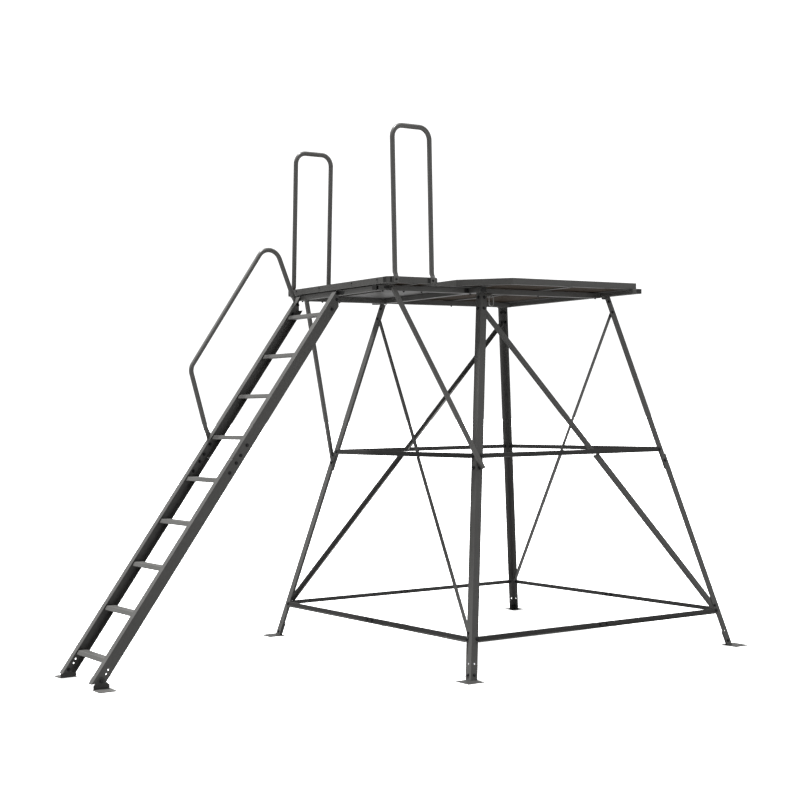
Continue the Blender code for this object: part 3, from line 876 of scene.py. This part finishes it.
class STAND_OT_decks(bpy.types.Operator):
    """Deck and landing rims with their lips, corner plates and dark strips of painted shade, plank floors, black clip
    plates and plates of painted shade over the long tubes' front ends, and the gap cover
    """
    bl_idname = "stand.decks"
    bl_label = "Deck and landing"

    def execute(self, context):
        for n in ("deck_rim", "landing_rim"):
            steel(n, edge=RIM_EDGE)
        for n in ("deck_floor", "landing_floor"):
            ob = add_object(n + "_planks", merged(n), "stained_board")
            round_edges(ob, 0.0015, second=0)
            stand_for(ob, n, "tower")
        self.corner_plates()
        self.lips()
        self.shade_strips()
        self.clips_and_end_shades()
        x0, x1, w = GAP_COVER
        middle = here((x0 + x1) / 2, 0.0, TUBE_TOP + 0.0004)
        plates("gap_cover", [(oblong(middle, X, Y, x1 - x0, 2 * w), Z, sizes().plate)])
        return {"FINISHED"}

    @staticmethod
    def corner_plates():
        """Thin plates bent round the rims' cut corners."""
        x0, x1, w, c = LANDING
        arm = CORNER_ARM
        paths = []
        for s in (-1, 1):
            for end, d in ((x0, 1), (x1, -1)):
                paths.append(((x0 + x1) / 2, [(end + d * (c + arm), s * w), (end + d * c, s * w),
                                              (end, s * (w - c)), (end, s * (w - c - arm))]))
        x0, x1, w, c = DECK
        turn = 0.022
        for s in (-1, 1):
            paths.append(((x0 + x1) / 2, [(x0, s * (w - c - arm)), (x0, s * (w - c)),
                                          (x0 + turn, s * (w - c + turn))]))
        gap, t = 0.0003, sizes().plate
        z0, z1 = RIM_BOTTOM + 0.0036, RIM_TOP - 0.003
        items = []
        for hub, path in paths:
            pts = [Vector((AXIS_X + x, y)) for x, y in path]
            outward = (pts[0] + pts[-1]) / 2 - Vector((AXIS_X + hub, 0.0))
            pairs = []
            for i, p in enumerate(pts):
                a = (pts[i] - pts[i - 1]).normalized() if i else (pts[1] - pts[0]).normalized()
                b = (pts[i + 1] - pts[i]).normalized() if i < len(pts) - 1 else a
                na, nb = Vector((a.y, -a.x)), Vector((b.y, -b.x))
                if na.dot(outward) < 0:
                    na, nb = -na, -nb
                m = (na + nb).normalized()
                pairs.append((p + m * (gap / m.dot(na)), p + m * ((t + gap) / m.dot(na))))
            ring = [v[0] for v in pairs] + [v[1] for v in reversed(pairs)]
            items.append(([Vector((v.x, v.y, z0)) for v in ring], Z, z1 - z0))
        plates("rim_corner_plates", items, edge=0.0005, angle=60.0)

    @staticmethod
    def lips():
        """Narrow outward flange along the bottom of both rims, in the brighter copy of the coat: painted light along
        the rims' bottom edges.
        """
        x0, x1, w, c = LANDING
        rounds = [[(x0 + c, -w), (x1 - c, -w), (x1, c - w), (x1, w - c), (x1 - c, w), (x0 + c, w), (x0, w - c),
                   (x0, c - w)]]
        x0, x1, w, c = DECK
        rounds.append([(x0 + c, -w), (x1, -w), (x1, w), (x0 + c, w), (x0, w - c), (x0, c - w)])
        strips = []
        for ring in rounds:
            for a, b in zip(ring, ring[1:] + ring[:1]):
                a, b = (here(x, y, RIM_BOTTOM + 0.0002) for x, y in (a, b))
                along = (b - a).normalized()
                out = Vector((along.y, -along.x, 0))
                a, b = a + out * 0.0003 - along * 0.001, b + out * 0.0003 + along * 0.001
                strips.append(([a, a + out * LIP, b + out * LIP, b], Z, 0.0026))
        plates("rim_lips", strips, "tube_coat_painted_light", 0.0004)

    @staticmethod
    def shade_strips():
        """Black strips of painted shade on the landing rim: two over each front corner plate, one on each side."""
        x0, _, w, c = LANDING
        over = sizes().plate + 0.0006
        slant = math.sqrt(0.5)
        rise = Vector((0, 0, RIM_TOP - RIM_BOTTOM - 0.0085))
        shade_strips = []
        # Each strip is painted shade: the shading of a rounded front corner, or the dark gap on a side.
        for s in (-1, 1):
            for a, b, out, gap in (((x0, w - c - CORNER_ARM), (x0, w - c), (-1, 0), over),
                                   ((x0 + 0.62 * c, w - 0.38 * c), (x0 + c, w), (-slant, slant), over),
                                   ((-1.014, w), (-0.989, w), (0, 1), 0.0004)):
                n = Vector((out[0], s * out[1], 0))
                a, b = (here(x, s * y, RIM_BOTTOM + 0.0045) + n * gap for x, y in (a, b))
                shade_strips.append(([a, b, b + rise, a + rise], n, 0.001))
        plates("rim_shade_strips", shade_strips, "black_clips_and_painted_shade", 0.0003)

    @staticmethod
    def clips_and_end_shades():
        """Black clip plates that hold the ladder rails and the long tubes, and a black plate over each long tube's
        front end that is painted shade for its hollow end.
        """
        items = []

        def clip(at, across, wide, high, out):
            items.append((oblong(here(*at), across, Z, wide, high), Vector(out), CLIP_THICK))

        for _, y, sign in RAILS:
            clip((CLIP_FRONT, y - sign * 0.034, 2.3800), Y, 0.058, 0.026, (-1, 0, 0))
            clip((-1.3230, y - sign * 0.0014, 2.3800), X, 0.022, 0.026, (0, -sign, 0))
        for s in (-1, 1):
            clip((-1.2524, s * 0.4892, 2.3822), X, 0.036, 0.019, (0, s, 0))
            clip((-0.6231, s * 0.4892, 2.3790), X, 0.036, 0.028, (0, s, 0))
            # Plate over each long tube's front end: painted shade for its dark hollow end.
            clip((CLIP_FRONT, s * 0.4445, 2.3840), Y, 0.046, 0.030, (-1, 0, 0))
        plates("clips_and_tube_end_shades", items, "black_clips_and_painted_shade")


class STAND_OT_rails(bpy.types.Operator):
    """Hoop handrails and the bent stair handrail, their ends pressed flat"""
    bl_idname = "stand.rails"
    bl_label = "Bent handrails"

    def execute(self, context):
        x0, x1 = HOOP_X
        for node, s, lean in HOOPS:
            corners = ((x0, HOOP_LOW), (x0, HOOP_TOP), (x1, HOOP_TOP), (x1, HOOP_LOW))
            path = [here(x, s * (HOOP_Y - lean * (z - HOOP_BASE)), z) for x, z in corners]
            pressed_tube(node, rounded(path, (0.075, 0.075), 16), Vector((0, s, 0)), 0.036, 0.028, 0.0119)
        y = RAILS[1][1] + TUBE_R + 0.0004
        path = rounded([here(x, y, z) for x, z in HAND_PATH], (0.075, 0.090), 16)
        pressed_tube("stair_handrail", path, Vector((0, -1, 0)), 0.042, 0.050, 0.0128)
        return {"FINISHED"}


class STAND_OT_ladder(bpy.types.Operator):
    """Channel rails with drilled foot ends, nine flat rungs and a splice strip on the far rail"""
    bl_idname = "stand.ladder"
    bl_label = "Ladder"

    def execute(self, context):
        r = sizes().hole_radius
        for n, y, _ in RAILS:
            steel("ladder_rail_lower_" + n, holes=[(here(x, y, z), Y, r) for x, z in RAIL_HOLES], edge=RAIL_EDGE)
            steel("ladder_rail_upper_" + n, edge=RAIL_EDGE)
        for i in range(9):
            self.rung("rung_%d" % (i + 1))
        x, z = SPLICE
        up = Vector((1.0, 0.0, RAIL_SLOPE)).normalized()
        strip = oblong(here(x, RAILS[1][1] + 0.0002, z), up, Y.cross(up), 0.05, 0.070)
        # The splice strip takes the darker copy of the coat: painted shade.
        plates("rail_splice", [(strip, Y, 0.0016)], "powder_coat_painted_shade")
        return {"FINISHED"}

    @staticmethod
    def rung(node):
        """Tread with a level top, a sloping nose and a small lip, rounded along its edges."""
        lo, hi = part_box(node)
        h = hi.z - lo.z
        x = lo.x - NOSE
        nose = [(x, lo.z), (x, lo.z + 0.16 * h), (x + 0.014, hi.z), (hi.x, hi.z), (hi.x, lo.z)]
        bm = bmesh.new()
        plate_mesh(bm, [Vector((x, lo.y, z)) for x, z in nose], Y, hi.y - lo.y)
        name = node + "_tread"
        ob = add_object(name, mesh_of(bm, name), "powder_coat", "coat_edge")
        round_edges(ob, 0.0022, angle=20.0)
        return stand_for(ob, node, "tower")


class STAND_OT_ladder_feet(bpy.types.Operator):
    """Two pivoting L feet, each on one bolt"""
    bl_idname = "stand.ladder_feet"
    bl_label = "Ladder feet"

    def execute(self, context):
        x, z = PIVOT
        for n, y, sign in RAILS:
            mesh = merged("ladder_foot_" + n)
            ob = add_object("ladder_foot_%s_steel" % n, mesh, "powder_coat", "coat_edge", "powder_coat_painted_shade")
            # Faces that do not face up take the darker copy of the coat, faces that face up the plain coat: painted
            # shade by facing.
            for face in mesh.polygons:
                face.material_index = 0 if face.normal.z > 0.7 else 2
            round_edges(ob, 0.0008)
            stand_for(ob, "ladder_foot_" + n, "foot_" + n)
            pivot = here(x, y - sign * 0.0046, z), Vector((0, -sign, 0)), 0.0080, 1.0
            bolts("pivot_bolt_" + n, [pivot], seed=7, body="foot_" + n)
        return {"FINISHED"}


class STAND_OT_tie_ring(bpy.types.Operator):
    """Wire tie ring hanging in its eye"""
    bl_idname = "stand.tie_ring"
    bl_label = "Tie ring"

    def execute(self, context):
        w, drop = RING_HALF, RING_DROP
        x, y, z = RING
        pts = [(0, 0), (w, 0), (w, -drop), (-w, -drop), (-w, 0), (0, 0)]
        path = rounded([here(x + a, y, z + b) for a, b in pts], (0.006, 0.016, 0.016, 0.006), 10)[:-1]
        path = refine(path + path[:1], 0.006)[:-1]
        wire_loop("tie_ring", path, RING_WIRE, Y, "ring")
        return {"FINISHED"}


class STAND_OT_fasteners(bpy.types.Operator):
    """Hexagon bolts at the joints of the tower, the ladder and the deck"""
    bl_idname = "stand.fasteners"
    bl_label = "Bolts"

    def execute(self, context):
        tower = []
        for k in range(4):
            for side in (-1, 1):
                tower += [self.by_corner(k, side, *row) for row in CORNER_BOLTS]
            tower.append(self.by_corner(k, 1, *BRACE_BOLT))
            for s in LAP_BOLTS:
                p, n = on_face(k, s, GIRT_LOW, GIRT_GAP + sizes().plate)
                tower.append((p, n, 0.0058, 0.8))
        p, n, grip, size = self.by_corner(1, -1, *INNER_BOLT)
        tower.append((p, -n, grip, size))
        bolts("tower_bolts", tower, seed=5)

        ladder = []
        for _, y, sign in RAILS:
            for places, grip, size in (SPLICE_BOLTS, TOP_BOLTS):
                ladder += [(here(x, y, z), Vector((0, -sign, 0)), grip, size) for x, z in places]
        bolts("ladder_bolts", ladder, seed=9)

        deck = [(here(x, y, TUBE_BOTTOM), Z, 0.0, 0.62) for y in (-LONG_Y, LONG_Y) for x in BAR_BOLTS]
        deck += [(here(x, s * 0.6024, 2.4215), Vector((0, s, 0)), 0.009, 0.66) for x in HOOP_X for s in (-1, 1)]
        deck += [(here(LANDING[0], y, 2.429), Vector((-1, 0, 0)), 0.003, 0.42) for y in RIM_BOLTS]
        bolts("deck_bolts", deck, seed=11)
        return {"FINISHED"}

    @staticmethod
    def by_corner(k, side, z, inset, out, grip, size):
        """One bolt on a tower face, placed from the leg corner on the given side."""
        return *on_face(k, side * (half(z) - inset), z, out), grip, size


class STAND_OT_stage(bpy.types.Operator):
    """Pale floor, soft studio light and the camera"""
    bl_idname = "stand.stage"
    bl_label = "Studio stage"

    def execute(self, context):
        self.floor()
        self.sky()
        sun = self.lamp("overhead_softbox", "SUN", SUN_POWER, Vector(SUN_AHEAD))
        sun.data.angle = math.radians(SUN_ANGLE)
        at = here(*STRIP_AT)
        strip = self.lamp("right_strip", "AREA", STRIP_POWER, here(*STRIP_AIM) - at)
        strip.location = at
        strip.data.shape = "RECTANGLE"
        strip.data.size, strip.data.size_y = STRIP_SIZE
        self.camera()
        context.scene.view_settings.view_transform = "Standard"
        return {"FINISHED"}

    @staticmethod
    def shade(tree, kind, colour, strength=None):
        """Output of one plain shader."""
        node = tree.nodes.new("ShaderNode" + kind)
        node.inputs["Color"].default_value = (*colour, 1.0)
        if strength is not None:
            node.inputs["Strength"].default_value = strength
        return node.outputs[0]

    @staticmethod
    def joined(tree, kind, *parts):
        """Output of a mix or add shader with its inputs linked in order."""
        node = tree.nodes.new("ShaderNode" + kind)
        for part, socket in zip(parts, node.inputs):
            tree.links.new(part, socket)
        return node.outputs[0]

    def floor(self):
        """Pale to the camera, dim to the steel, with a soft sheen in what the steel mirrors."""
        mesh = bpy.data.meshes.new("studio_floor")
        r, z = FLOOR_HALF, -0.001
        mesh.from_pydata([(-r, -r, z), (r, -r, z), (r, r, z), (-r, r, z)], [], [(0, 1, 2, 3)])
        floor = placed("studio_floor", mesh)
        mat = bpy.data.materials.new("studio_floor")
        mat.use_nodes = True
        tree = mat.node_tree
        tree.nodes.clear()
        white = (1.0, 1.0, 1.0)
        ray = tree.nodes.new("ShaderNodeLightPath").outputs
        lit = self.joined(tree, "AddShader", self.shade(tree, "BsdfDiffuse", colours().floor),
                          self.shade(tree, "Emission", white, FLOOR_GLOW))
        back = self.joined(tree, "MixShader", ray["Is Glossy Ray"], self.shade(tree, "BsdfDiffuse", (FLOOR_GREY,) * 3),
                           self.shade(tree, "Emission", white, FLOOR_SHEEN))
        seen = self.joined(tree, "MixShader", ray["Is Camera Ray"], back, lit)
        tree.links.new(seen, tree.nodes.new("ShaderNodeOutputMaterial").inputs["Surface"])
        mesh.materials.append(mat)

    def sky(self):
        """Grey light all round, white to the camera."""
        world = bpy.data.worlds.new("studio")
        bpy.context.scene.world = world
        world.use_nodes = True
        tree = world.node_tree
        light = tree.nodes["Background"]
        light.inputs["Color"].default_value = (SKY_GREY, SKY_GREY, SKY_GREY, 1.0)
        light.inputs["Strength"].default_value = 1.0
        ray = tree.nodes.new("ShaderNodeLightPath").outputs["Is Camera Ray"]
        seen = self.joined(tree, "MixShader", ray, light.outputs[0],
                           self.shade(tree, "Background", (1.0, 1.0, 1.0), SKY_SEEN))
        tree.links.new(seen, tree.nodes["World Output"].inputs["Surface"])

    @staticmethod
    def lamp(name, kind, power, ahead):
        light = bpy.data.lights.new(name, kind)
        light.energy = power
        ob = placed(name, light)
        ob.rotation_euler = ahead.to_track_quat("-Z", "Y").to_euler()
        return ob

    @staticmethod
    def camera():
        cam = bpy.data.cameras.new("photo_camera")
        ob = placed("photo_camera", cam)
        yaw, pitch, roll = (math.radians(a) for a in CAMERA_TURN)
        ahead = Vector((math.cos(pitch) * math.sin(yaw), math.cos(pitch) * math.cos(yaw), math.sin(pitch)))
        right = Vector((math.cos(yaw), -math.sin(yaw), 0.0))
        up = right.cross(ahead)
        side = right * math.cos(roll) + up * math.sin(roll)
        top = up * math.cos(roll) - right * math.sin(roll)
        place = Matrix((side, top, -ahead)).transposed().to_4x4()
        place.translation = here(*CAMERA_AT)
        ob.matrix_world = place
        cam.sensor_width = CAMERA_SENSOR
        cam.lens = CAMERA_LENS
        cam.shift_x, cam.shift_y = CAMERA_SHIFT
        cam.clip_end = 400.0
        bpy.context.scene.camera = ob


OPERATORS = (STAND_OT_stage, STAND_OT_legs, STAND_OT_bracing, STAND_OT_subframe, STAND_OT_decks, STAND_OT_rails,
             STAND_OT_ladder, STAND_OT_ladder_feet, STAND_OT_tie_ring, STAND_OT_fasteners)


class VIEW3D_PT_stand(bpy.types.Panel):
    """Platform dressing"""
    bl_label = "Platform"
    bl_idname = "VIEW3D_PT_stand"
    bl_space_type = "VIEW_3D"
    bl_region_type = "UI"
    bl_category = "Platform"

    def draw(self, context):
        layout = self.layout
        for op in OPERATORS:
            layout.operator(op.bl_idname)
        for group in (context.scene.stand_sizes, context.scene.stand_colours):
            box = layout.box()
            for key in group.__annotations__:
                box.prop(group, key)


CLASSES = (StandSizes, StandColours, *OPERATORS, VIEW3D_PT_stand)


def register():
    for c in CLASSES:
        bpy.utils.register_class(c)
    bpy.types.Scene.stand_sizes = bpy.props.PointerProperty(type=StandSizes)
    bpy.types.Scene.stand_colours = bpy.props.PointerProperty(type=StandColours)


def unregister():
    del bpy.types.Scene.stand_colours
    del bpy.types.Scene.stand_sizes
    for c in reversed(CLASSES):
        bpy.utils.unregister_class(c)


def main():
    register()
    for op in OPERATORS:
        group, name = op.bl_idname.split(".")
        getattr(getattr(bpy.ops, group), name)()


if __name__ == "__main__":
    main()
